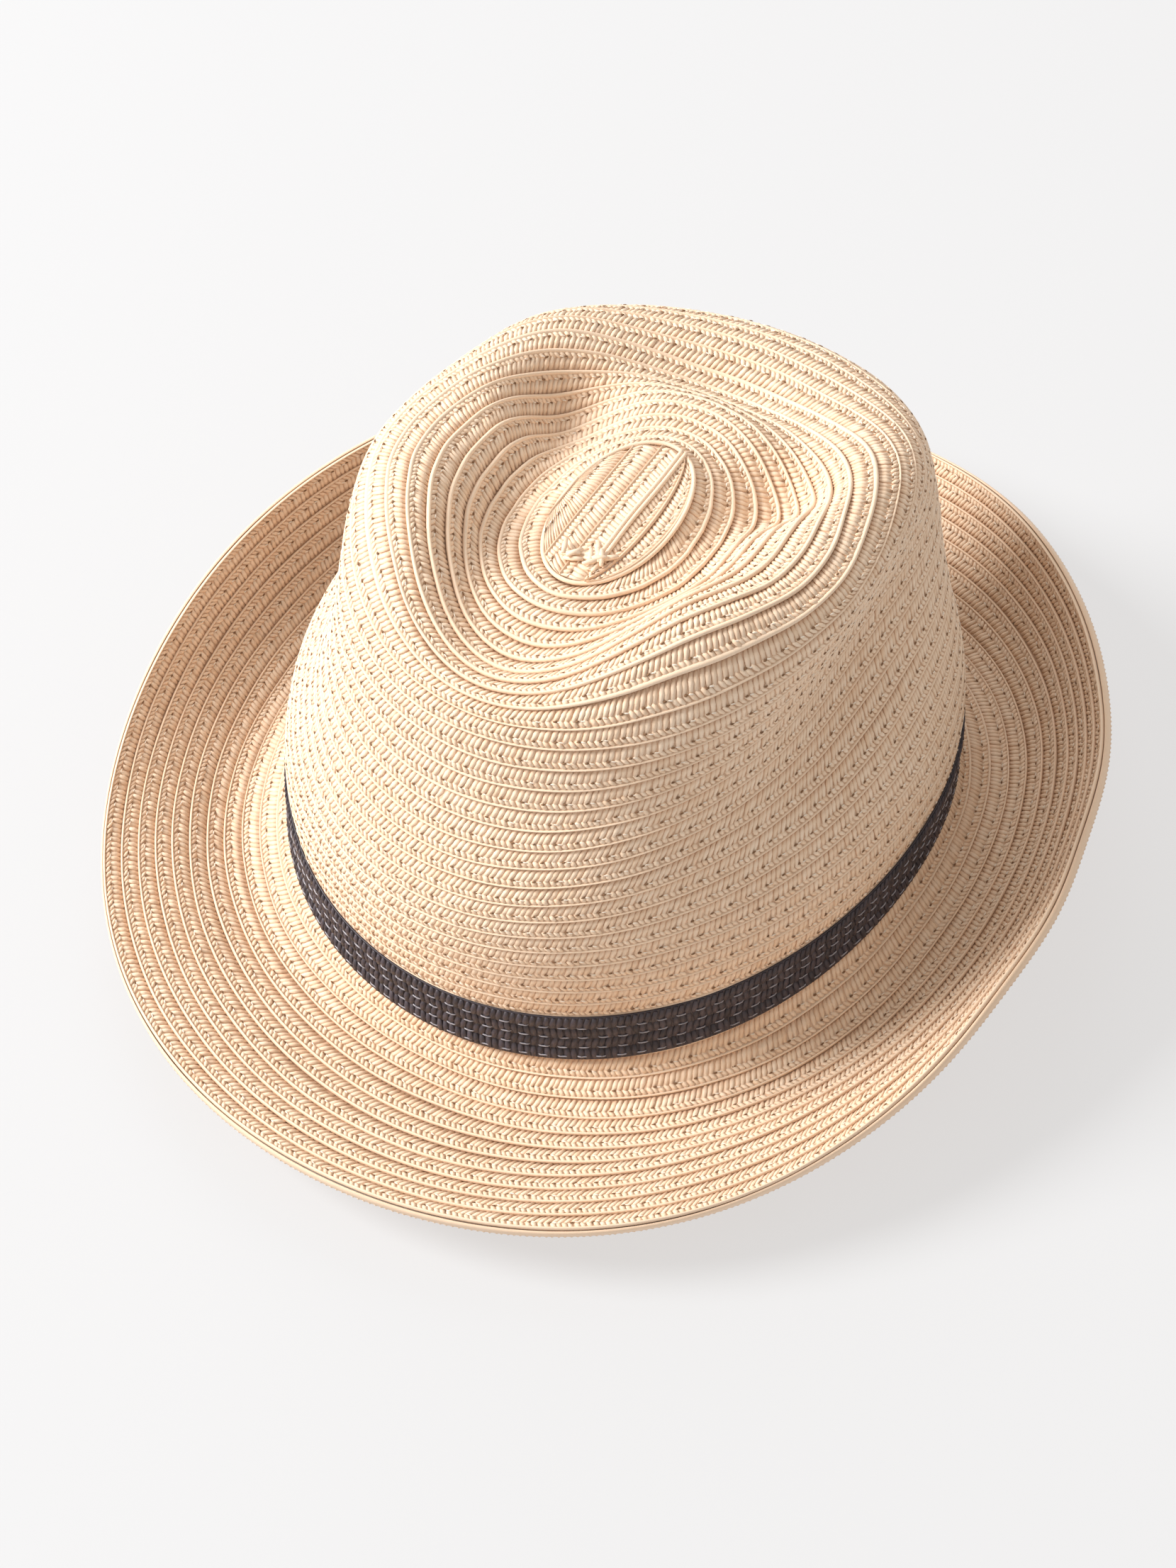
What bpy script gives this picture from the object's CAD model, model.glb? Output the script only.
import math
import bpy
import numpy as np
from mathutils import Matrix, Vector


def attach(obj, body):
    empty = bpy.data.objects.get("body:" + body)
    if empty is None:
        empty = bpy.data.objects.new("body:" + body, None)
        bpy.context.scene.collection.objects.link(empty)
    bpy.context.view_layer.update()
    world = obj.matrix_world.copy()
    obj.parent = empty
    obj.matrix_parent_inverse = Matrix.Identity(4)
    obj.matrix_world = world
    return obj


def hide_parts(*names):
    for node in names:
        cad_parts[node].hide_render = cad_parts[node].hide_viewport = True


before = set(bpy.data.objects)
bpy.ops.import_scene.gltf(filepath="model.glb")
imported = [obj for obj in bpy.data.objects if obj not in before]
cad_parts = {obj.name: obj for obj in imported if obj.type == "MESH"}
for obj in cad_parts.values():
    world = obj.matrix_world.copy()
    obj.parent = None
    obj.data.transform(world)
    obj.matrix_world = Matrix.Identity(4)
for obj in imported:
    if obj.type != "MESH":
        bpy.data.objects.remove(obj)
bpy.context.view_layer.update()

bpy.context.scene.view_settings.view_transform = "Standard"

cameraSettings = {
    "place": (-0.2952, 0.5158, 0.6933),
    "aim": (-0.01149, 0.03679, 0.05757),
    "lens": 73.92,
}


def addCamera():
    bpy.ops.object.camera_add(location=cameraSettings["place"])
    camera = bpy.context.object
    line = Vector(cameraSettings["aim"]) - Vector(cameraSettings["place"])
    camera.rotation_euler = line.to_track_quat("-Z", "Y").to_euler()
    camera.data.lens = cameraSettings["lens"]
    camera.data.sensor_width = 36
    camera.data.clip_end = 20
    camera.data.dof.use_dof = False
    bpy.context.scene.camera = camera


# The hat's surface, in millimetres. One line is one closed ring: course number, half length,
# half width, shift back, squareness, height, tilt, saddle, corner rise, pinch depth, pinch drop,
# snap reach, snap drop.
hatRings = np.array([
    (1.0, 27.5, 16.0, 5.5, 0, 104.5, -1.0, 0, 0, 0, 0, 0, 0),
    (3.0, 38.0, 26.5, 7.0, 0, 102.5, 1.0, 1.5, 0, 0.035, -2.5, 0, 0),
    (5.5, 49.0, 37.0, 8.0, 0.02, 109.5, -1.5, -3.5, -3.0, 0.15, -18.0, 0, 0),
    (9.0, 64.5, 56.5, 8.0, 0.025, 110.0, 4.5, -7.5, -3.5, 0.065, -2.0, 0, 0),
    (11.0, 74.5, 66.5, 5.5, 0.01, 103.5, 1.5, -4.5, -0.5, 0.07, 4.5, 0, 0),
    (15.0, 94.5, 65.5, -2.5, -0.04, 86.5, -5.5, -1.0, -2.0, 0.03, -1.0, 0, 0),
    (21.0, 98.0, 77.5, 4.0, 0, 55.0, -1.0, -3.5, 0, 0.07, 1.5, 0, 0),
    (27.9, 101.0, 89.0, -0.5, -0.005, 18.0, 0.5, -5.5, 0, 0, 0, 0, 0),
    (31.0, 100.5, 89.5, 0, -0.01, 0, 0.5, -6.0, 0, 0, 0, 0, 0),
    (33.0, 108.5, 98.5, -1.5, -0.02, -8.0, 0, -5.5, -0.5, 0, 0, 0, 0),
    (37.0, 130.0, 116.0, 0, -0.01, -1.5, -4.0, -5.0, -1.0, 0, 0, 3.0, -5.0),
    (42.0, 146.0, 130.5, 12.5, -0.01, 18.5, -16.5, -3.0, 2.0, 0, 0, 18.0, -24.0),
])
hatSettings = {
    "shift": (0, -3.4477, 17.5656),   # puts the lowest point of the brim on the floor
    "coursePitch": 5.9,
    "turnSteps": 1440,
    "courseStep": 0.05,
    "firstCourse": 0.2,
    "lastCourse": 42.6,
    "pinchAt": math.radians(135),     # measured from the back of the hat
    "sharpness": 14.0,
}
coursePitch = hatSettings["coursePitch"]
fullTurn = 2 * math.pi


def ringPoints(ring, turn):
    halfLength, halfWidth, shift, square, height, tilt = ring[1:7]
    saddle, corner, pinch, drop, reach, fall = ring[7:]
    sharp = hatSettings["sharpness"]
    oval = 1 / np.hypot(np.cos(turn) / halfLength, np.sin(turn) / halfWidth)
    dent = np.exp(sharp * (np.cos(turn - hatSettings["pinchAt"]) - 1))
    dent = dent + np.exp(sharp * (np.cos(turn + hatSettings["pinchAt"]) - 1))
    snap = np.exp(sharp * (-np.cos(turn) - 1))
    radius = oval * (1 + square * np.cos(4 * turn) + pinch * dent) + reach * snap
    level = height + tilt * np.cos(turn) + saddle * np.cos(2 * turn) + corner * np.cos(4 * turn)
    level = level + drop * dent + fall * snap
    return np.stack([radius * np.sin(turn), radius * np.cos(turn) + shift, level], axis=1)


def buildSurface():
    # a smooth curve through the rings along each meridian, and the way out of the straw
    s = hatSettings
    turn = np.arange(s["turnSteps"]) * 2 * math.pi / s["turnSteps"]
    values = np.array([ringPoints(ring, turn) for ring in hatRings])
    courses = hatRings[:, 0]
    gaps = np.diff(courses)
    matrix = np.eye(len(courses))
    target = np.zeros_like(values)
    for i in range(1, len(courses) - 1):
        matrix[i, i - 1:i + 2] = gaps[i - 1], 2 * (gaps[i - 1] + gaps[i]), gaps[i]
        rise = (values[i + 1] - values[i]) / gaps[i]
        target[i] = 6 * (rise - (values[i] - values[i - 1]) / gaps[i - 1])
    bends = np.linalg.solve(matrix, target.reshape(len(courses), -1)).reshape(values.shape)
    points = []
    for course in np.arange(s["firstCourse"], s["lastCourse"] + 0.01, s["courseStep"]):
        i = int(np.clip(np.searchsorted(courses, course) - 1, 0, len(courses) - 2))
        inside = min(max(course, courses[0]), courses[-1])
        a = (courses[i + 1] - inside) / gaps[i]
        b = (inside - courses[i]) / gaps[i]
        point = a * values[i] + b * values[i + 1]
        point = point + ((a**3 - a) * bends[i] + (b**3 - b) * bends[i + 1]) * gaps[i]**2 / 6
        slope = (values[i + 1] - values[i]) / gaps[i]
        slope = slope + ((3 * b**2 - 1) * bends[i + 1] - (3 * a**2 - 1) * bends[i]) * gaps[i] / 6
        points.append(point + (course - inside) * slope)
    points = np.array(points)
    around = np.roll(points, -1, axis=1) - np.roll(points, 1, axis=1)
    outwards = np.cross(around, np.gradient(points, axis=0))
    outwards /= np.linalg.norm(outwards, axis=2)[:, :, None]
    return points, outwards


surfacePoints, surfaceOut = buildSurface()
print("surface ready", surfacePoints.shape)


# the soft ripple of the free edge on the wearer's right: degrees, waves in a turn, millimetres
waveSettings = {"middle": 262, "spread": 24, "waves": 13, "start": 0.6, "height": 0.55}


def brimWave(turn, course):
    w = waveSettings
    near = np.exp(-((turn / fullTurn % 1 * 360 - w["middle"]) / w["spread"])**2)
    outer = np.clip((course - 35) / 7, 0, 1.1)**2
    return near * np.sin(turn * w["waves"] + w["start"]) * w["height"] * outer


def onHat(turn, course, lift):
    # turn in radians from the back, course number, height above the straw's outer face
    lift = lift + brimWave(turn, course)
    steps = hatSettings["turnSteps"]
    across = (turn / fullTurn % 1) * steps
    i = np.floor(across).astype(int)
    fx = (across - i)[:, None]
    down = (course - hatSettings["firstCourse"]) / hatSettings["courseStep"]
    j = np.clip(np.floor(down).astype(int), 0, len(surfacePoints) - 2)
    fy = (down - j)[:, None]
    i, right = i % steps, (i + 1) % steps
    made = []
    for grid in (surfacePoints, surfaceOut):
        low = grid[j, i] * (1 - fx) + grid[j, right] * fx
        high = grid[j + 1, i] * (1 - fx) + grid[j + 1, right] * fx
        made.append(low * (1 - fy) + high * fy)
    return (made[0] + made[1] * lift[:, None] + np.array(hatSettings["shift"])) / 1000


def pathAt(course):
    # turns, and the millimetres walked to each of them along one course
    places = hatSettings["turnSteps"] + 1
    turn = np.linspace(0, fullTurn, places)
    walked = onHat(turn, np.full(places, course), np.zeros(places)) * 1000
    distance = np.concatenate([[0], np.cumsum(np.linalg.norm(np.diff(walked, axis=0), axis=1))])
    return turn, distance


def deselectAll():
    if bpy.context.object is not None and bpy.context.object.mode != "OBJECT":
        bpy.ops.object.mode_set(mode="OBJECT")
    bpy.ops.object.select_all(action="DESELECT")


def useOnly(piece):
    deselectAll()
    piece.select_set(True)
    bpy.context.view_layer.objects.active = piece


def readPoints(piece):
    flat = np.empty(len(piece.data.vertices) * 3)
    piece.data.vertices.foreach_get("co", flat)
    return flat.reshape(-1, 3)


def writePoints(piece, points):
    piece.data.vertices.foreach_set("co", np.ascontiguousarray(points, dtype=np.float64).ravel())
    piece.data.update()


def setNumber(piece, name, values):
    layer = piece.data.attributes.get(name) or piece.data.attributes.new(name, "FLOAT", "POINT")
    layer.data.foreach_set("value", np.ascontiguousarray(values, dtype=np.float32))


def getNumber(piece, name):
    values = np.empty(len(piece.data.vertices), np.float32)
    piece.data.attributes[name].data.foreach_get("value", values)
    return values


def joinPieces(pieces, name):
    useOnly(pieces[0])
    for piece in pieces:
        piece.select_set(True)
    if len(pieces) > 1:
        bpy.ops.object.join()
    joined = bpy.context.object
    joined.name = name
    joined.data.name = name
    return joined


def copyPiece(model):
    copy = model.copy()
    copy.data = model.data.copy()
    bpy.context.collection.objects.link(copy)
    return copy


def placeCopy(model, strand, location, turnZ=0.0, scale=(1, 1, 1), tiltX=0.0):
    copy = copyPiece(model)
    copy.location = location
    copy.rotation_euler = (tiltX, 0, turnZ)
    copy.scale = scale
    setNumber(copy, "strand", np.full(len(copy.data.vertices), strand))
    useOnly(copy)
    bpy.ops.object.transform_apply(location=True, rotation=True, scale=True)
    return copy


def repeatAlong(model, count, step):
    # copies one after another along X; gives the points and the number of each point's copy
    useOnly(model)
    array = model.modifiers.new("along", "ARRAY")
    array.count = count
    array.use_relative_offset = False
    array.use_constant_offset = True
    array.constant_offset_displace = (step, 0, 0)
    bpy.ops.object.modifier_apply(modifier="along")
    points = readPoints(model)
    return points, np.arange(len(points)) // (len(points) // count)


def cutAcross(piece, cuts, along=(1, 0, 0)):
    useOnly(piece)
    bpy.ops.object.mode_set(mode="EDIT")
    for cut in cuts:
        bpy.ops.mesh.select_all(action="SELECT")
        bpy.ops.mesh.bisect(plane_co=Vector(along) * cut, plane_no=along)
    bpy.ops.mesh.select_all(action="DESELECT")
    bpy.ops.object.mode_set(mode="OBJECT")


def extrudeSection(section, columns, step):
    # a closed section across Y and Z, extruded along X
    deselectAll()
    bpy.ops.mesh.primitive_circle_add(vertices=len(section), radius=1)
    piece = bpy.context.object
    for vertex, (down, lift) in zip(piece.data.vertices, section):
        vertex.co = (0, down, lift)
    bpy.ops.object.mode_set(mode="EDIT")
    bpy.ops.mesh.select_all(action="SELECT")
    for column in range(columns):
        bpy.ops.mesh.extrude_region_move(TRANSFORM_OT_translate={"value": (step, 0, 0)})
    bpy.ops.object.mode_set(mode="OBJECT")
    return piece


def cornerPoints(piece):
    # the point at each corner of each face
    corner = np.empty(len(piece.data.loops), np.int32)
    piece.data.loops.foreach_get("vertex_index", corner)
    return corner


def mapWeave(piece, flat):
    # flat holds each point's place on the cloth, in millimetres
    layer = piece.data.uv_layers.new(name="weave")
    layer.data.foreach_set("uv", flat[cornerPoints(piece)].ravel())


def finishMesh(piece, merge=2e-6):
    useOnly(piece)
    bpy.ops.object.mode_set(mode="EDIT")
    bpy.ops.mesh.select_all(action="SELECT")
    bpy.ops.mesh.remove_doubles(threshold=merge)
    bpy.ops.mesh.normals_make_consistent(inside=False)
    bpy.ops.object.mode_set(mode="OBJECT")
    bpy.ops.object.shade_smooth()


def keepPiece(piece, slotName, *nodes):
    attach(piece, "root")
    if nodes:
        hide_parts(*nodes)
    return piece


class Flow:
    # a socket that takes +, - and * like a number
    def __init__(self, tree, socket):
        self.tree = tree
        self.socket = socket

    def step(self, operation, first, second):
        node = self.tree.nodes.new("ShaderNodeMath")
        node.operation = operation
        for place, value in enumerate((first, second)):
            if isinstance(value, Flow):
                self.tree.links.new(value.socket, node.inputs[place])
            else:
                node.inputs[place].default_value = value
        return Flow(self.tree, node.outputs[0])

    def __add__(self, other):
        return self.step("ADD", self, other)

    def __radd__(self, other):
        return self.step("ADD", other, self)

    def __sub__(self, other):
        return self.step("SUBTRACT", self, other)

    def __rsub__(self, other):
        return self.step("SUBTRACT", other, self)

    def __mul__(self, other):
        return self.step("MULTIPLY", self, other)

    def __rmul__(self, other):
        return self.step("MULTIPLY", other, self)


class Finish:
    def __init__(self, name, **plain):
        self.material = bpy.data.materials.new(name)
        self.material.use_nodes = True
        self.tree = self.material.node_tree
        self.shader = self.tree.nodes["Principled BSDF"]
        for socket, value in plain.items():
            self.shader.inputs[socket.replace("_", " ")].default_value = value

    def node(self, kind, settings=None, output=0, **inputs):
        made = self.tree.nodes.new(kind)
        for key, value in (settings or {}).items():
            setattr(made, key, value)
        for key, value in inputs.items():
            socket = made.inputs[key.replace("_", " ")]
            if isinstance(value, Flow):
                self.tree.links.new(value.socket, socket)
            else:
                socket.default_value = value
        return Flow(self.tree, made.outputs[output])

    def noise(self, scale, detail):
        place = self.node("ShaderNodeTexCoord", output="Object")
        return self.node("ShaderNodeTexNoise", Vector=place, Scale=scale, Detail=detail)

    def number(self, name):
        return self.node("ShaderNodeAttribute", {"attribute_name": name}, output="Fac")

    def mix(self, share, first, second):
        made = self.tree.nodes.new("ShaderNodeMix")
        made.data_type = "RGBA"
        for place, value in ((0, share), (6, first), (7, second)):    # factor, then both colours
            if isinstance(value, Flow):
                self.tree.links.new(value.socket, made.inputs[place])
            else:
                made.inputs[place].default_value = value if place == 0 else (*value, 1)
        return Flow(self.tree, made.outputs[2])

    def feed(self, socket, flow):
        self.tree.links.new(flow.socket, self.shader.inputs[socket])

    def bump(self, height, distance, strength):
        inputs = {"Height": height, "Distance": distance, "Strength": strength}
        self.feed("Normal", self.node("ShaderNodeBump", **inputs))


strawSettings = {
    "light": (0.95, 0.775, 0.61),
    "dark": (0.84, 0.61, 0.425),
    "deep": (0.55, 0.31, 0.175),
}


def strawFinish(name, dulling=0.0):
    finish = Finish(name, Specular_IOR_Level=0.32)
    tone = finish.number("tone")
    depth = finish.number("depth")
    fleck = finish.noise(620, 3)
    patch = finish.noise(38, 2)
    light = tone * 0.62 + fleck * 0.42 + patch * 0.35 - 0.22 - dulling
    body = finish.mix(light, strawSettings["dark"], strawSettings["light"])
    finish.feed("Base Color", finish.mix(depth, strawSettings["deep"], body))
    finish.feed("Roughness", fleck * 0.3 + 0.42)
    finish.bump(finish.noise(2600, 2), 0.00012, 0.35)
    return finish.material


def plainFinish(name, first, second, scale, roughness, bumpScale, bumpDepth):
    finish = Finish(name)
    speck = finish.noise(scale, 3)
    finish.feed("Base Color", finish.mix(speck, first, second))
    finish.feed("Roughness", speck * 0.2 + (roughness - 0.1))
    finish.bump(finish.noise(bumpScale, 2), bumpDepth, 0.5)
    return finish.material


def bandFinish():
    finish = Finish("charcoalPlait")
    tone = finish.number("tone")
    speck = finish.noise(700, 3)
    share = tone * 0.7 + speck * 0.5 - 0.1
    finish.feed("Base Color", finish.mix(share, (0.026, 0.022, 0.029), (0.082, 0.068, 0.083)))
    finish.feed("Roughness", speck * 0.25 + 0.38)
    finish.bump(finish.noise(2400, 2), 0.0001, 0.35)
    return finish.material


def twillFinish(name, first, second, roughness=0.85):
    # woven cloth: fine diagonal rows from the piece's own map
    finish = Finish(name)
    along = finish.node("ShaderNodeUVMap", {"uv_map": "weave"})
    slanted = {"wave_type": "BANDS", "bands_direction": "DIAGONAL"}
    rows = finish.node("ShaderNodeTexWave", slanted, Vector=along, Scale=0.62, Distortion=0.6)
    speck = finish.noise(1500, 2)
    finish.feed("Base Color", finish.mix(speck * 0.6 + rows * 0.4, first, second))
    finish.feed("Roughness", speck * 0.1 + (roughness - 0.05))
    finish.bump(rows * 0.7 + speck * 0.3, 0.00012, 0.6)
    return finish.material


tipStraw = strawFinish("tipStraw")
crownStraw = strawFinish("crownStraw")
brimStraw = strawFinish("brimStraw", 0.02)
holeShade = plainFinish(
    "stitchHoleShade", (0.2, 0.105, 0.05), (0.3, 0.17, 0.09), 900, 0.9, 1500, 0.00005)
paleThread = plainFinish(
    "paleSewingThread", (0.88, 0.77, 0.64), (0.95, 0.87, 0.77), 600, 0.35, 1500, 0.00003)
charcoal = bandFinish()
clearThread = plainFinish(
    "clearBandThread", (0.24, 0.225, 0.25), (0.46, 0.44, 0.48), 500, 0.24, 900, 0.00002)
rimLine = plainFinish(
    "rimLine", (0.4, 0.38, 0.36), (0.55, 0.53, 0.5), 500, 0.35, 900, 0.00002)
sweatCloth = twillFinish("sweatbandTwill", (0.62, 0.53, 0.4), (0.78, 0.69, 0.54))
tapeCloth = twillFinish("joinTape", (0.55, 0.46, 0.34), (0.7, 0.6, 0.46))
labelCloth = twillFinish("blankLabel", (0.82, 0.81, 0.78), (0.93, 0.92, 0.9), 0.6)
sweatThread = plainFinish(
    "sweatbandThread", (0.74, 0.66, 0.52), (0.86, 0.79, 0.66), 900, 0.6, 1600, 0.00004)
print("materials ready")

# the plait: one tile is modelled once and copied along every course
plaitSettings = {
    "tileLength": 10.8,      # two sewing stitches
    "ribs": 7,
    "ribLength": 3.95,
    "ribWidth": 1.62,
    "ribHeight": 1.02,
    "slant": math.radians(23),
    "chevronLength": 2.25,
    "chevronWidth": 1.42,
    "chevronHeight": 0.92,
    "chevronSlant": math.radians(38),
    "backRibSize": (1.45, 5.2, 0.7),
    "holes": (2.05, 7.45),        # places along the tile
    "holeSize": (0.62, 0.95, 0.3),
    "stitches": (0.75, 6.15),
    "stitchSize": (0.36, 1.15, 0.32),
    "ribAt": 0.3,                 # places down the course, as shares of its width
    "chevronAt": 0.735,
    "holeAt": 0.615,
    "stitchAt": 0.63,
    "backRibAt": 0.08,
    "scatter": (0.09, 0.07, 0.07),     # along, down and out of the straw, in millimetres
    "tone": (0.55, 0.26),              # middle and spread of the straw's lightness
    "columns": 4,
}


def modelRib(name, sides, cuts, taper):
    deselectAll()
    lying = (math.pi / 2, 0, 0)
    bpy.ops.mesh.primitive_cylinder_add(vertices=sides, radius=0.5, depth=1, rotation=lying)
    rib = bpy.context.object
    rib.name = name
    bpy.ops.object.transform_apply(location=False, rotation=True, scale=False)
    cutAcross(rib, cuts, (0, 1, 0))
    for vertex in rib.data.vertices:
        vertex.select = abs(vertex.co.y) > 0.49
    bpy.ops.object.mode_set(mode="EDIT")
    bpy.ops.transform.resize(value=(taper, 1, taper))      # rounded ends
    bpy.ops.object.mode_set(mode="OBJECT")
    return rib


ribModel = modelRib("ribModel", 6, [0.0], 0.62)
backRibModel = modelRib("backRibModel", 4, [], 0.7)
stitchModel = modelRib("stitchModel", 6, [-0.3, 0.3], 0.45)


def ribbonProfile(roll):
    # millimetres down from the course's upper edge, and lift; roll is the edge's thickness
    pitch = coursePitch
    lap = -0.4 * pitch
    edge = pitch + 0.06
    return [
        (lap, -1.22), (0.0, -1.0), (0.5, -0.86), (pitch * 0.57, -0.4),
        (edge - 1.7 * roll, -0.34), (edge - 1.45 * roll, roll * 0.28 - 0.1),
        (edge - 0.85 * roll, roll * 0.5), (edge - 0.3 * roll, roll * 0.36),
        (edge, -0.1), (edge + 0.02, -0.6), (edge - 0.3, -1.0),
        (pitch * 0.57, -1.04), (0.2, -2.0), (lap, -2.05),
    ]


def faceLift(down):
    pitch = coursePitch
    return np.interp(down, [0, 0.03 * pitch, 0.57 * pitch, pitch], [-0.9, -0.86, -0.32, -0.28])


def backLift(down):
    pitch = coursePitch
    return np.interp(down, [-0.4 * pitch, 0.03 * pitch, 0.57 * pitch], [-2.05, -2.05, -1.02])


def modelTile(roll):
    # ribs lean one way, then a narrow run of short ones leans back to the edge
    s = plaitSettings
    pitch = coursePitch
    step = s["tileLength"] / s["ribs"]
    middles = [(i + 0.5) * step for i in range(s["ribs"])]
    ribbon = extrudeSection(ribbonProfile(roll), s["columns"], s["tileLength"] / s["columns"])
    setNumber(ribbon, "strand", np.zeros(len(ribbon.data.vertices)))
    ribSize = (s["ribWidth"], s["ribLength"], s["ribHeight"])
    chevronSize = (s["chevronWidth"], s["chevronLength"], s["chevronHeight"])
    strands = []
    for x in middles:
        strands.append((ribModel, (x - 0.75, s["ribAt"] * pitch, 0.0), -s["slant"], ribSize))
        place = (x - 0.35, s["chevronAt"] * pitch, -0.02)
        strands.append((ribModel, place, s["chevronSlant"], chevronSize))
    for x in s["holes"]:
        place = (x, s["holeAt"] * pitch, 0.3)
        strands.append((ribModel, place, math.radians(90), s["holeSize"]))
    for x in s["stitches"]:
        place = (x, s["stitchAt"] * pitch, 0.36)
        strands.append((stitchModel, place, math.radians(78), s["stitchSize"]))
    for x in middles:
        place = (x, s["backRibAt"] * pitch, 0.0)
        strands.append((backRibModel, place, s["slant"], s["backRibSize"]))
    parts = [ribbon]
    for number, (model, place, turnZ, size) in enumerate(strands, 1):
        parts.append(placeCopy(model, number, place, turnZ, size))
    return joinPieces(parts, "plaitTile"), len(parts)


def strandKinds(strand):
    # the tile's strands in the order that modelTile adds them
    holeStart = 1 + 2 * plaitSettings["ribs"]
    stitchStart = holeStart + len(plaitSettings["holes"])
    backStart = stitchStart + len(plaitSettings["stitches"])
    return {
        "face": (strand > 0) & (strand < backStart),
        "hole": (strand >= holeStart) & (strand < stitchStart),
        "stitch": (strand >= stitchStart) & (strand < backStart),
        "back": strand >= backStart,
    }


def markFaces(piece):
    # which finish each face takes: straw, shaded hole or thread
    first = np.empty(len(piece.data.polygons), np.int32)
    piece.data.polygons.foreach_get("loop_start", first)
    strand = getNumber(piece, "strand")[cornerPoints(piece)[first]].astype(int)
    kinds = strandKinds(strand)
    index = np.zeros(len(first), np.int32)
    index[kinds["hole"]] = 1
    index[kinds["stitch"]] = 2
    piece.data.polygons.foreach_set("material_index", index)


def wrapCourse(name, tile, strandCount, course, straw, generator):
    s = plaitSettings
    pitch = coursePitch
    tileLength = s["tileLength"]
    turnList, distance = pathAt(course - 0.45)
    length = distance[-1]
    count = round(length / tileLength)
    piece = copyPiece(tile)
    piece.name = name
    piece.data.name = name
    points, copy = repeatAlong(piece, count, tileLength)
    for finish in (straw, holeShade, paleThread):
        piece.data.materials.append(finish)
    markFaces(piece)
    strand = getNumber(piece, "strand").astype(int)
    kinds = strandKinds(strand)
    ribs, back = kinds["face"], kinds["back"]
    key = copy * strandCount + strand
    total = count * strandCount
    loose = (strand > 0).astype(float)
    along, down, out = s["scatter"]
    shiftX = generator.normal(0, along, total)[key] * loose
    shiftY = generator.normal(0, down, total)[key] * loose
    taller = generator.normal(0, out, total)[key] * loose
    tone = np.clip(generator.normal(*s["tone"], total), 0, 1)[key]
    start = generator.uniform(0, tileLength)
    x = points[:, 0] * length / (count * tileLength) + shiftX + start
    y = points[:, 1] + shiftY
    turn = np.interp(x % length, distance, turnList)
    wave = np.zeros(len(points))
    swell = np.zeros(len(points))
    for beat in (2, 3, 5, 9, 17):
        phase = generator.uniform(0, fullTurn, 2)
        wave += np.sin(beat * turn + phase[0]) * 0.07
        swell += np.sin((beat + 2) * turn + phase[1]) * 0.035
    if course < 42:      # the outermost course keeps its even edge
        y = y + wave
    lift = points[:, 2] + swell
    lift = np.where(ribs, lift + faceLift(y) + taller, lift)
    lift = np.where(back, lift + backLift(y) - 0.02, lift)
    writePoints(piece, onHat(turn, course - 1 + y / pitch, lift))
    # the valleys are darker than the ribs' backs
    depth = np.where(strand == 0, 0.62, np.clip(0.78 + points[:, 2] * 0.75, 0, 1))
    edge = (strand == 0) & (y > 0.76 * pitch) & (points[:, 2] > -0.2)
    depth = np.where(edge, 1.0, depth)
    depth = np.where(ribs, depth * np.interp(y, [0, 0.22 * pitch], [0.62, 1.0]), depth)
    depth = np.where(back, np.clip(0.9 - points[:, 2], 0, 1), depth)
    tone = np.where(strand == 0, 0.6, tone)
    setNumber(piece, "tone", tone)
    setNumber(piece, "depth", depth)
    finishMesh(piece)
    return piece


def coursePlace(course):
    # the part of the hat that a course is in, and its number there
    if course <= 10:
        return "tip", course - 1
    if course <= 31:
        return "crown", course - 10
    return "brim", course - 31


def buildCourses():
    generator = np.random.default_rng(41)
    tiles = {"tip": modelTile(0.72), "crown": modelTile(0.37), "brim": modelTile(0.37)}
    straws = {"tip": tipStraw, "crown": crownStraw, "brim": brimStraw}
    for course in range(2, 43):
        kind, number = coursePlace(course)
        tile, strandCount = tiles[kind]
        name = f"{kind}Plait{number:02d}"
        piece = wrapCourse(name, tile, strandCount, course, straws[kind], generator)
        keepPiece(piece, "straw_plait", f"{kind}_course_{number:02d}")
    for tile, strandCount in tiles.values():
        bpy.data.objects.remove(tile)
    print("courses sewn")


# the button, where the plait starts
buttonSettings = {
    "halfLength": 27.5,
    "halfWidth": 16.0,
    "middle": 5.5,
    "slit": -4.5,            # towards the wearer's right
    "leftStrips": 3,
    "rightStrips": 2,
    "stripTiles": 5,
    "reach": 0.955,          # share of the oval that the strips fill
    "rightReach": 0.93,
    "height": 104.5,
    "tilt": 1.0,             # lower at the back, as the first course is
    "dome": 0.5,
    "ridge": 0.55,           # how far the straw rises beside the slit
    "ridgeWidth": 2.2,
    "lipRadius": 0.00062,
    "knotRibs": 18,
    "knotRibSize": (1.7, 5.2, 1.2),
}


def buttonPoint(x, y, lift):
    b = buttonSettings
    span = np.hypot(x / b["halfWidth"], (y - b["middle"]) / b["halfLength"])
    level = b["height"] - b["tilt"] * (y - b["middle"]) / b["halfLength"]
    level = level + b["dome"] * (1 - span**2)
    return (np.stack([x, y, level + lift], axis=1) + np.array(hatSettings["shift"])) / 1000


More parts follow.
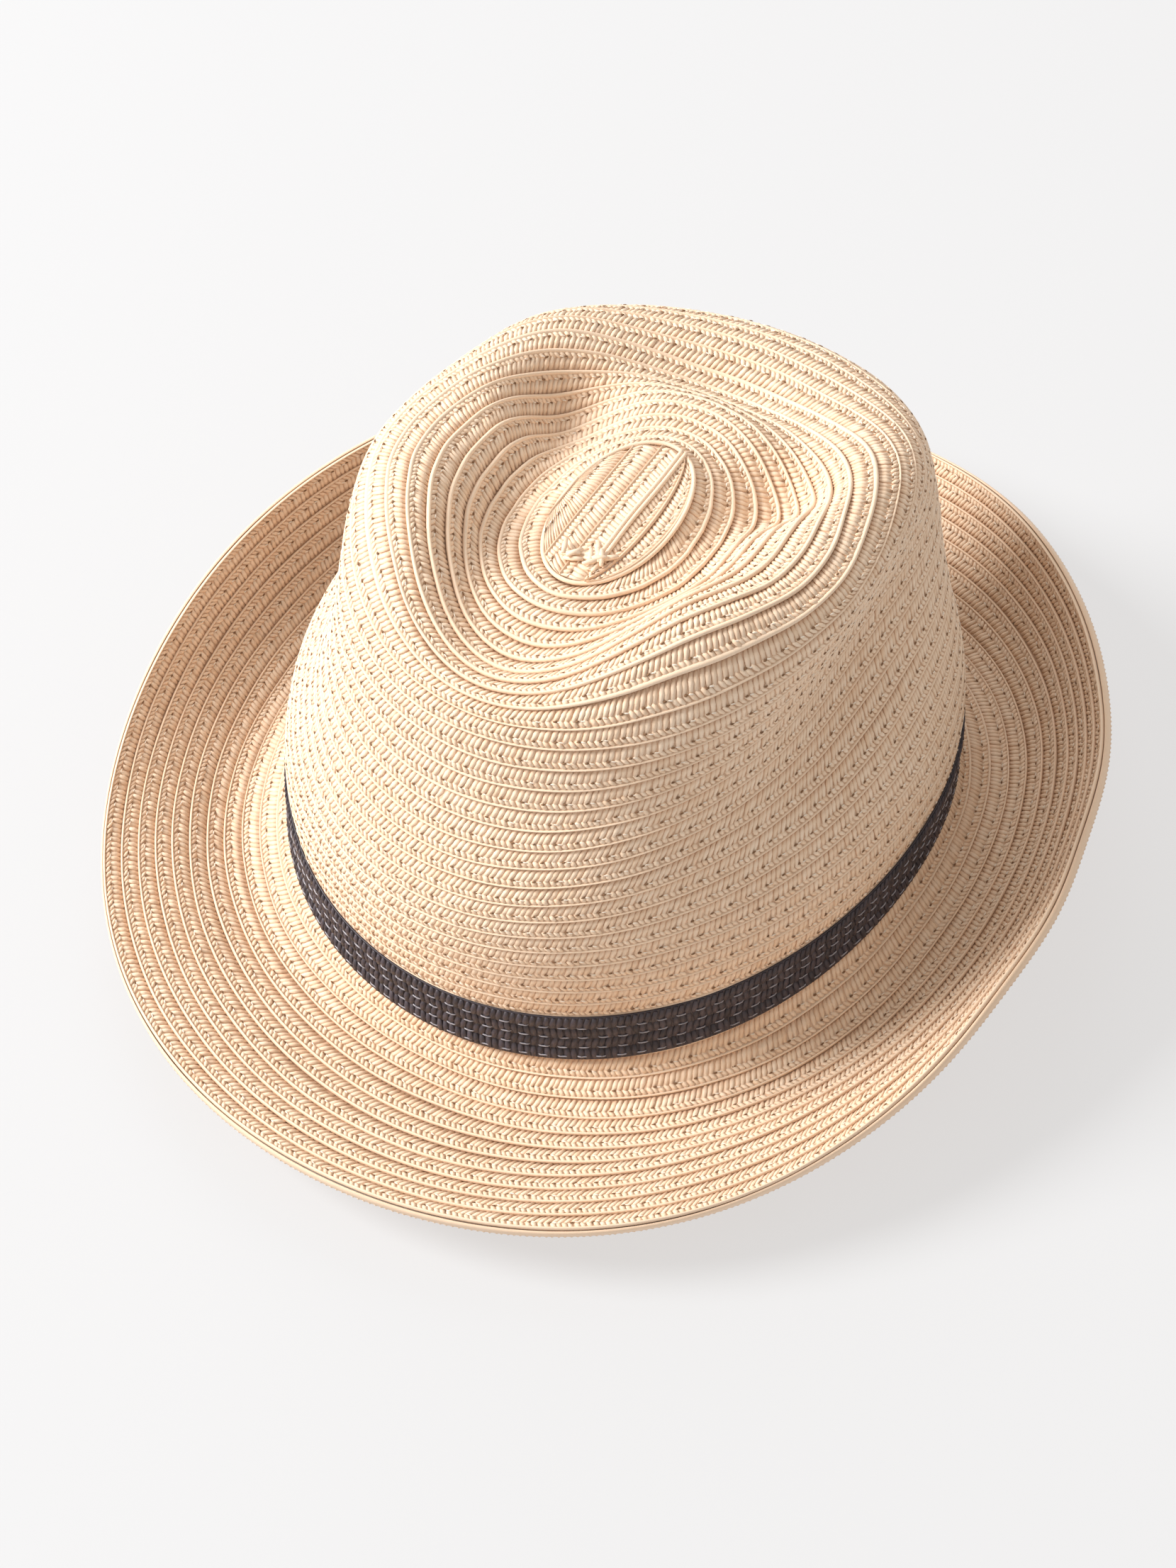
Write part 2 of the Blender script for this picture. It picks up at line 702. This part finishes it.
def buttonStrip(tile, strandCount, side, index, generator):
    b = buttonSettings
    tileLength = plaitSettings["tileLength"]
    count = b["stripTiles"]
    piece = copyPiece(tile)
    points, copy = repeatAlong(piece, count, tileLength)
    strand = getNumber(piece, "strand").astype(int)
    kinds = strandKinds(strand)
    ribs, back = kinds["face"], kinds["back"]
    key = copy * strandCount + strand
    total = count * strandCount
    loose = (strand > 0).astype(float)
    x = points[:, 0] + generator.normal(0, 0.08, total)[key] * loose
    y = points[:, 1] + generator.normal(0, 0.06, total)[key] * loose
    t = np.clip(x / (count * tileLength) * 2 - 1, -1, 1)
    strips = b["leftStrips"] if side > 0 else b["rightStrips"]
    share = (index + np.clip(y / coursePitch, -0.05, 1.02)) / strips
    if side > 0:
        across = b["slit"] + share * (b["reach"] * b["halfWidth"] - b["slit"])
        oval = np.sqrt(np.clip(1 - (across / b["halfWidth"])**2, 0.05, 1))
        forward = b["middle"] - t * (b["halfLength"] * b["reach"] * oval)
    else:
        forward = b["middle"] + t * b["halfLength"] * b["rightReach"]
        oval = np.sqrt(np.clip(1 - ((forward - b["middle"]) / b["halfLength"])**2, 0, 1))
        rim = -b["reach"] * b["halfWidth"] * oval
        across = b["slit"] + share * (rim - b["slit"])
    lift = np.where(ribs, points[:, 2] + faceLift(y), points[:, 2])
    lift = np.where(back, -1.4 + points[:, 2] * 0.5, lift)
    lift = np.maximum(lift, -1.9)
    ridge = np.exp(-((across - b["slit"]) / b["ridgeWidth"])**2) * b["ridge"]
    writePoints(piece, buttonPoint(across, forward, lift + ridge + 0.35))
    tone = np.clip(generator.normal(0.58, 0.24, total), 0, 1)[key]
    depth = np.where(strand == 0, 0.7, np.clip(0.8 + points[:, 2] * 0.6, 0, 1))
    setNumber(piece, "tone", np.where(strand == 0, 0.6, tone))
    setNumber(piece, "depth", depth)
    for finish in (tipStraw, holeShade, paleThread):
        piece.data.materials.append(finish)
    markFaces(piece)
    return piece


def capOpenEnds(piece):
    useOnly(piece)
    bpy.ops.object.mode_set(mode="EDIT")
    bpy.ops.mesh.select_all(action="DESELECT")
    bpy.ops.mesh.select_non_manifold(
        extend=False, use_wire=False, use_multi_face=False, use_non_contiguous=False, use_verts=False)
    bpy.ops.mesh.edge_face_add()
    bpy.ops.object.mode_set(mode="OBJECT")


def rollAlong(name, path, radius, closed=False):
    # a rolled edge of straw that follows points in metres
    curve = bpy.data.curves.new(name, "CURVE")
    curve.dimensions = "3D"
    curve.bevel_depth = radius
    curve.bevel_resolution = 2
    curve.use_fill_caps = not closed
    spline = curve.splines.new("POLY")
    spline.points.add(len(path) - 1)
    spline.points.foreach_set("co", np.column_stack([path, np.ones(len(path))]).ravel())
    spline.use_cyclic_u = closed
    piece = bpy.data.objects.new(name, curve)
    bpy.context.collection.objects.link(piece)
    useOnly(piece)
    bpy.ops.object.convert(target="MESH")
    return bpy.context.object


def buildButton():
    generator = np.random.default_rng(7)
    b = buttonSettings
    parts = []
    for side, strips, roll in ((1, b["leftStrips"], 0.3), (-1, b["rightStrips"], 0.6)):
        tile, strandCount = modelTile(roll)
        for index in range(strips):
            strip = buttonStrip(tile, strandCount, side, index, generator)
            finishMesh(strip)
            capOpenEnds(strip)
            parts.append(strip)
        bpy.data.objects.remove(tile)
    # both rolled lips of the slit
    forward = np.linspace(-20.5, 27.5, 40)
    for offset, height in ((-0.62, 0.75), (0.62, 0.8)):
        x = b["slit"] + offset + np.sin(forward * 0.21) * 0.12
        lip = buttonPoint(x, forward, np.full(40, height))
        parts.append(rollAlong("slitLip", lip, b["lipRadius"]))
    # the rolled edge of the first turn
    turn = np.linspace(0, fullTurn, 121)[:-1]
    lift = -0.05 - 0.45 * np.clip(np.sin(turn), 0, 1)
    edge = onHat(turn, np.full(120, 0.94), lift)
    parts.append(rollAlong("firstTurn", edge, 0.0006, closed=True))
    # the folded start of the plait, a small knot at the back end of the slit
    knot = []
    for i in range(b["knotRibs"]):
        x = b["slit"] + 4.0 + generator.normal(0, 3.0)
        y = 24.0 + generator.normal(0, 1.5) - 0.12 * abs(x)
        height = 104.2 + 0.75 + generator.uniform(0, 1.2)
        turnZ = generator.uniform(-1.5, 1.5)
        tiltX = generator.uniform(-0.2, 0.2)
        knot.append(placeCopy(ribModel, 1, (x, y, height), turnZ, b["knotRibSize"], tiltX))
    for piece in knot:
        writePoints(piece, (readPoints(piece) + np.array(hatSettings["shift"])) / 1000)
    parts += knot
    for piece in parts:
        if piece.data.attributes.get("tone") is None:
            count = len(piece.data.vertices)
            setNumber(piece, "tone", np.full(count, generator.uniform(0.5, 0.8)))
            setNumber(piece, "depth", np.full(count, 1.0))
        if len(piece.data.materials) == 0:
            piece.data.materials.append(tipStraw)
    button = joinPieces(parts, "tipButton")
    finishMesh(button, 1e-7)
    keepPiece(button, "straw_plait", "tip_button")
    print("button made")


def wrapRing(name, profile, columns, finish):
    # a ring that isn't plait; profile is (course, lift) round its section
    piece = extrudeSection(profile, columns, fullTurn / columns)
    piece.name = name
    piece.data.name = name
    points = readPoints(piece)
    mapWeave(piece, points[:, :2] * np.array([95, coursePitch]))
    writePoints(piece, onHat(points[:, 0], points[:, 1], points[:, 2]))
    piece.data.materials.append(finish)
    finishMesh(piece)
    return piece


# the second layer under the edge, which shows by the peek, and the springy line inside
rimSettings = {"ribPitch": 1.55, "ribSize": (1.4, 6.0, 0.75), "peek": 0.05, "wire": 0.42}


def buildRim():
    edge = 42 + rimSettings["peek"]
    profile = [
        (40.9, -2.25), (41.88, -2.25), (41.95, -1.75), (edge - 0.04, -1.02), (edge, -1.08),
        (edge + 0.03, -1.45), (edge + 0.01, -1.95), (41.93, -3.1), (41.85, -3.25), (40.9, -3.25),
    ]
    under = wrapRing("rimUnderPlait", profile, 360, brimStraw)
    setNumber(under, "tone", np.full(len(under.data.vertices), 0.5))
    setNumber(under, "depth", np.full(len(under.data.vertices), 0.85))
    generator = np.random.default_rng(19)
    turnList, distance = pathAt(41.6)
    count = round(distance[-1] / rimSettings["ribPitch"])
    ribs = placeCopy(backRibModel, 0, (0, 0, 0), 0.4, rimSettings["ribSize"])
    points, copy = repeatAlong(ribs, count, distance[-1] / count)
    x = points[:, 0] + generator.normal(0, 0.08, count)[copy]
    turn = np.interp(x % distance[-1], distance, turnList)
    course = 41.45 + points[:, 1] / coursePitch
    lift = points[:, 2] + np.interp(course, [41.9, 42.1], [-3.25, -2.2])
    writePoints(ribs, onHat(turn, course, lift))
    setNumber(ribs, "tone", np.clip(generator.normal(0.5, 0.2, count), 0, 1)[copy])
    setNumber(ribs, "depth", np.full(len(points), 0.95))
    ribs.data.materials.append(brimStraw)
    rim = joinPieces([under, ribs], "rimUnderPlait")
    finishMesh(rim)
    keepPiece(rim, "straw_plait", "rim_under_course")
    section = []
    radius = rimSettings["wire"]
    for angle in np.linspace(0, fullTurn, 11)[:-1]:
        course = 41.8 - radius * math.cos(angle) / coursePitch
        section.append((course, -1.58 + radius * math.sin(angle)))
    line = wrapRing("rimSpringLine", section, 300, rimLine)
    keepPiece(line, "rim_line", "rim_wire")
    print("rim made")


# the dark band: top and bottom in course numbers, sizes in millimetres
bandSettings = {
    "top": 27.9,
    "bottom": 30.85,
    "rows": 4,
    "ribPitch": 1.75,
    "ribSize": (1.86, 3.95, 0.95),
    "ribLean": 0.16,
    "dashPitch": 5.1,
    "dashLength": 3.6,
    "dashWidth": 0.42,
    "dashAt": (0.22, 0.47, 0.72, 0.93),     # share of the band's height
}


def buildBandRow(index, generator):
    b = bandSettings
    height = (b["bottom"] - b["top"]) / b["rows"]
    start = b["top"] + index * height
    end = start + height
    lap = start if index == 0 else start - 0.2
    profile = [
        (lap, 0.55), (start + 0.05, 0.6), (start + 0.3, 1.0), (end - 0.09, 1.18), (end - 0.03, 1.3),
        (end + 0.01, 1.12), (end, 0.72), (end - 0.2, 0.62), (start + 0.05, 0.15), (lap, 0.12),
    ]
    name = f"bandPlaitRow{index + 1}"
    row = wrapRing(name, profile, 300, charcoal)
    setNumber(row, "tone", np.full(len(row.data.vertices), 0.25))
    turnList, distance = pathAt(start + height / 2)
    count = round(distance[-1] / b["ribPitch"])
    lean = b["ribLean"] if index % 2 else -b["ribLean"]
    rib = placeCopy(ribModel, 0, (0, 0, 0), lean, b["ribSize"])
    points, copy = repeatAlong(rib, count, distance[-1] / count)
    x = points[:, 0] + generator.normal(0, 0.07, count)[copy]
    turn = np.interp(x % distance[-1], distance, turnList)
    course = start + height * 0.5 + points[:, 1] / coursePitch
    lift = points[:, 2] + np.interp(course, [start, start + 0.3, end], [0.62, 0.98, 1.12]) + 0.08
    lift = lift + generator.normal(0, 0.04, count)[copy]
    writePoints(rib, onHat(turn, course, lift))
    setNumber(rib, "tone", np.clip(generator.normal(0.5, 0.25, count), 0, 1)[copy])
    rib.data.materials.append(charcoal)
    row = joinPieces([row, rib], name)
    finishMesh(row)
    keepPiece(row, "band_plait", f"hat_band_row_{index + 1}")


def sewBandLine(share, generator):
    # one line of the clear stitches, each bent down into the plait at both ends
    b = bandSettings
    at = b["top"] + share * (b["bottom"] - b["top"])
    turnList, distance = pathAt(at)
    length = distance[-1]
    count = round(length / b["dashPitch"])
    size = (b["dashWidth"], b["dashLength"], b["dashWidth"])
    dash = placeCopy(stitchModel, 0, (0, 0, 0), math.radians(90), size)
    cutAcross(dash, (-0.6, 0.6))
    points, copy = repeatAlong(dash, count, length / count)
    middle = copy * length / count
    reach = (points[:, 0] - middle) / (b["dashLength"] / 2)
    x = points[:, 0] + generator.normal(0, 0.12, count)[copy]
    turn = np.interp(x % length, distance, turnList)
    course = at + points[:, 1] / coursePitch + generator.normal(0, 0.006, count)[copy]
    height = (b["bottom"] - b["top"]) / b["rows"]
    row = np.clip((at - b["top"]) / height % 1, 0, 1)
    lift = points[:, 2] + 1.28 + 0.25 * row - 0.6 * np.abs(reach)**3
    writePoints(dash, onHat(turn, course, lift))
    dash.data.materials.append(clearThread)
    return dash


def buildBand():
    generator = np.random.default_rng(23)
    for index in range(bandSettings["rows"]):
        buildBandRow(index, generator)
    dashes = [sewBandLine(share, generator) for share in bandSettings["dashAt"]]
    threads = joinPieces(dashes, "bandThreads")
    finishMesh(threads)
    keepPiece(threads, "clear_thread", "hat_band_threads")
    print("band made")


def wrapPatch(name, cells, turns, courses, lifts, finish, mapWidth):
    # a slab with closed sides that bends with the crown; pairs give where it starts and ends
    deselectAll()
    bpy.ops.mesh.primitive_grid_add(x_subdivisions=cells[0], y_subdivisions=cells[1], size=1)
    piece = bpy.context.object
    piece.name = name
    piece.data.name = name
    solid = piece.modifiers.new("thick", "SOLIDIFY")
    solid.thickness = 1.0
    solid.offset = 0.0
    bpy.ops.object.modifier_apply(modifier="thick")
    points = readPoints(piece)
    share = points + 0.5
    mapHeight = (courses[1] - courses[0]) * coursePitch
    mapWeave(piece, share[:, :2] * np.array([mapWidth, mapHeight]))
    rounding = 1 - np.maximum(np.abs(points[:, 0]), np.abs(points[:, 1])) * 2
    thin = np.clip(rounding * 12, 0.35, 1)
    turn = turns[0] + share[:, 0] * (turns[1] - turns[0])
    course = courses[0] + share[:, 1] * (courses[1] - courses[0])
    lift = (lifts[0] + lifts[1]) / 2 + (share[:, 2] - 0.5) * (lifts[1] - lifts[0]) * thin
    writePoints(piece, onHat(turn, course, lift))
    piece.data.materials.append(finish)
    finishMesh(piece)
    return piece


# the upright piece over the band's join, on the wearer's left
coverSettings = {
    "turns": (math.radians(82), math.radians(94)),
    "courses": (27.75, 30.9),
    "lifts": (1.95, 2.75),
    "ribs": 14,
    "ribSize": (1.35, 17.6, 0.7),
}


def buildBandCover():
    s = coverSettings
    generator = np.random.default_rng(31)
    cover = wrapPatch("bandCover", (24, 24), s["turns"], s["courses"], s["lifts"], charcoal, 18)
    setNumber(cover, "tone", np.full(len(cover.data.vertices), 0.3))
    start, end = s["turns"]
    count = s["ribs"]
    rib = placeCopy(ribModel, 0, (0, 0, 0), math.radians(90), s["ribSize"])
    cutAcross(rib, np.arange(-5.5, 7, 2))      # so that it can bend round the crown
    ribs = []
    for i in range(count):
        line = placeCopy(rib, 0, (0, 0, 0))
        points = readPoints(line)
        turn = (start + end) / 2 + points[:, 0] / 18.4 * (end - start)
        course = 27.85 + (i + 0.5) / count * 2.95 + points[:, 1] / coursePitch
        course = course + generator.normal(0, 0.01)
        writePoints(line, onHat(turn, course, points[:, 2] + 2.72))
        setNumber(line, "tone", np.full(len(points), generator.uniform(0.3, 0.8)))
        line.data.materials.append(charcoal)
        ribs.append(line)
    bpy.data.objects.remove(rib)
    cover = joinPieces([cover, *ribs], "bandCover")
    finishMesh(cover)
    keepPiece(cover, "band_plait", "hat_band_loop")
    print("band cover made")


# inside the hat: top and bottom in course numbers, turns in radians, sizes in millimetres
sweatSettings = {
    "top": 26.2,
    "bottom": 30.8,
    "outer": -2.35,
    "thick": 0.8,
    "tapeTurns": (math.radians(-3.5), math.radians(3.5)),
    "labelTurns": (math.radians(14), math.radians(30)),
    "stitches": 110,
    "stitchSize": (0.5, 3.7, 0.5),
}


def buildSweatband():
    s = sweatSettings
    low = s["outer"] - s["thick"]
    steps = np.linspace(s["top"], s["bottom"], 9)
    profile = [(course, s["outer"]) for course in steps]
    profile += [(s["bottom"] + 0.04, (s["outer"] + low) / 2)]
    profile += [(course, low) for course in steps[::-1]]
    profile += [(s["top"] - 0.04, (s["outer"] + low) / 2)]
    band = wrapRing("sweatbandCloth", profile, 300, sweatCloth)
    keepPiece(band, "sweatband_cloth", "sweatband")
    courses = (s["top"] + 0.05, s["bottom"] - 0.5)
    lifts = (low - 0.58, low - 0.08)
    tape = wrapPatch("sweatbandTape", (16, 24), s["tapeTurns"], courses, lifts, tapeCloth, 12)
    keepPiece(tape, "sweatband_cloth", "sweatband_join")
    courses = (s["top"] + 1.0, s["bottom"] - 1.2)
    lifts = (low - 0.48, low - 0.08)
    label = wrapPatch("blankSizeLabel", (32, 16), s["labelTurns"], courses, lifts, labelCloth, 27)
    keepPiece(label, "label_cloth", "size_label")
    generator = np.random.default_rng(5)
    at = s["bottom"] - 0.25
    turnList, distance = pathAt(at)
    inner = distance[-1]
    stitch = placeCopy(stitchModel, 0, (0, 0, 0), math.radians(90), s["stitchSize"])
    points, copy = repeatAlong(stitch, s["stitches"], inner / s["stitches"])
    reach = (points[:, 0] - copy * inner / s["stitches"]) / (s["stitchSize"][1] / 2)
    turn = np.interp(points[:, 0] % inner, distance, turnList)
    course = at + points[:, 1] / coursePitch + generator.normal(0, 0.01, s["stitches"])[copy]
    lift = low - 0.12 + points[:, 2] + 0.3 * np.abs(reach)**3
    writePoints(stitch, onHat(turn, course, lift))
    stitch.data.materials.append(sweatThread)
    stitches = joinPieces([stitch], "sweatbandStitches")
    finishMesh(stitches)
    keepPiece(stitches, "stitch_thread", "sweatband_stitches")
    print("sweatband made")


lightSettings = {
    "window": {"place": (1.85, 1.0, 1.65), "size": 1.2, "power": 98.0, "tint": (1.0, 0.985, 0.96)},
    "fill": {"place": (1.2, -1.5, 1.7), "size": 1.8, "power": 14.0, "tint": (0.97, 0.98, 1.0)},
    "sky": (0.95, 0.905, 0.85),
    "skyPower": 0.6,
    "floorGlow": 0.61,
}


def addLamp(name, place, size, power, tint):      # aimed at the middle of the hat's foot
    bpy.ops.object.light_add(type="AREA", location=place)
    lamp = bpy.context.object
    lamp.name = name
    line = Vector((0, 0, 0.05)) - Vector(place)
    lamp.rotation_euler = line.to_track_quat("-Z", "Y").to_euler()
    lamp.data.shape = "DISK"
    lamp.data.size = size
    lamp.data.energy = power
    lamp.data.color = tint


def buildStage():
    deselectAll()
    bpy.ops.mesh.primitive_plane_add(size=8, location=(0, 0, -0.0005))
    floor = bpy.context.object
    floor.name = "paleFloor"
    paper = plainFinish(
        "palePaper", (0.18, 0.187, 0.197), (0.188, 0.195, 0.205), 3, 0.9, 60, 0.00001)
    glow = paper.node_tree.nodes["Principled BSDF"].inputs
    glow["Emission Color"].default_value = (1.0, 0.985, 0.98, 1)
    glow["Emission Strength"].default_value = lightSettings["floorGlow"]
    floor.data.materials.append(paper)
    addLamp("windowLight", **lightSettings["window"])
    addLamp("roomFill", **lightSettings["fill"])
    world = bpy.data.worlds.new("softRoom")
    world.use_nodes = True
    sky = world.node_tree.nodes["Background"]
    sky.inputs["Color"].default_value = (*lightSettings["sky"], 1)
    sky.inputs["Strength"].default_value = lightSettings["skyPower"]
    bpy.context.scene.world = world
    print("stage set")


addCamera()
buildCourses()
buildButton()
buildRim()
buildBand()
buildBandCover()
buildSweatband()
for model in (ribModel, backRibModel, stitchModel):
    bpy.data.objects.remove(model)
buildStage()
